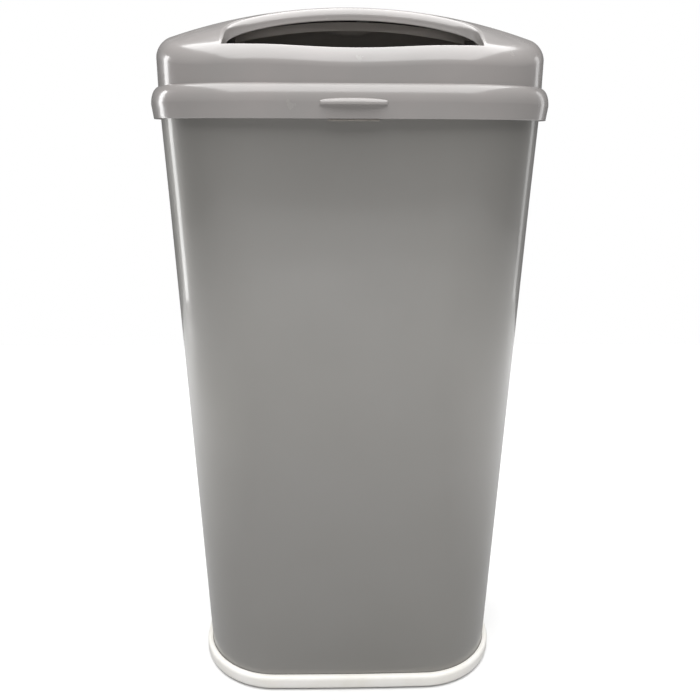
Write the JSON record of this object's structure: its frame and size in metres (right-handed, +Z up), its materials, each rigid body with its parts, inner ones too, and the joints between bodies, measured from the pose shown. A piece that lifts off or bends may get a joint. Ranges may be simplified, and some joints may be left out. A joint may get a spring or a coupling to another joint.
{
  "type": "nappy bin",
  "caption": "Tall tapered nappy bin in painted steel on a plastic base ring, with a hinged plastic lid whose curved mouth is shut by a door that slides back under the hood, with a child lock.",
  "frame": {"origin": "middle of the footprint, on the floor under the feet", "axes": "+Z up, the front with the finger tab faces -Y, +X is the right-hand side seen from the front"},
  "size_m": [0.34, 0.26, 0.6296],
  "materials": {
    "painted_steel": "glossy stoved enamel, light warm grey",
    "lid_plastic": "gloss moulded ABS, light warm grey",
    "white_plastic": "satin moulded polypropylene, white",
    "frame_plastic": "fine-textured moulded ABS, light grey",
    "runner_plastic": "moulded acetal, grey",
    "knob_plastic": "moulded ABS, pale grey",
    "grey_rubber": "moulded rubber, dark grey",
    "zinc_steel": "bright zinc plate",
    "galvanised_sheet": "galvanised sheet",
    "spring_steel": "rolled spring steel"
  },
  "bodies": {
    "bin": {"body_shell": "painted_steel", "base_ring": "white_plastic", "rubber_feet": "grey_rubber", "base_screws": "zinc_steel", "floor_plate": "galvanised_sheet", "top_frame": "frame_plastic", "bag_ring": "white_plastic", "hinge_bracket_left": "painted_steel", "hinge_bracket_right": "painted_steel", "bracket_screws": "zinc_steel"},
    "lid": {"lid_rim": "lid_plastic", "lid_gasket": "grey_rubber", "latch_tongue": "spring_steel", "tongue_rivets": "zinc_steel", "hinge_pin_left": "zinc_steel", "hinge_pin_right": "zinc_steel", "hood": "lid_plastic", "mouth_trim": "lid_plastic", "front_seal": "grey_rubber", "chute": "frame_plastic", "lid_screws": "zinc_steel", "track_left": "runner_plastic", "track_right": "runner_plastic", "track_screws": "zinc_steel", "lock_leaf": "spring_steel"},
    "door": {"sliding_door": "lid_plastic", "door_runners": "runner_plastic", "door_wiper": "grey_rubber", "lock_catch": "runner_plastic"},
    "lock": {"lock_knob": "knob_plastic", "lock_bar": "runner_plastic"}
  },
  "joints": [
    {"name": "lid_hinge", "type": "hinge", "parent": "bin", "child": "lid", "pos_m": [0, 0.1245, 0.5292], "axis": [-1, 0, 0], "range_deg": [0, 95]},
    {"name": "door_slide", "type": "hinge", "parent": "lid", "child": "door", "pos_m": [0, 0.012, 0.3675], "axis": [1, 0, 0], "range_deg": [0, 24]},
    {"name": "lock_slide", "type": "slide", "parent": "lid", "child": "lock", "axis": [-1, 0, 0], "range_m": [0, 0.012]}
  ]
}
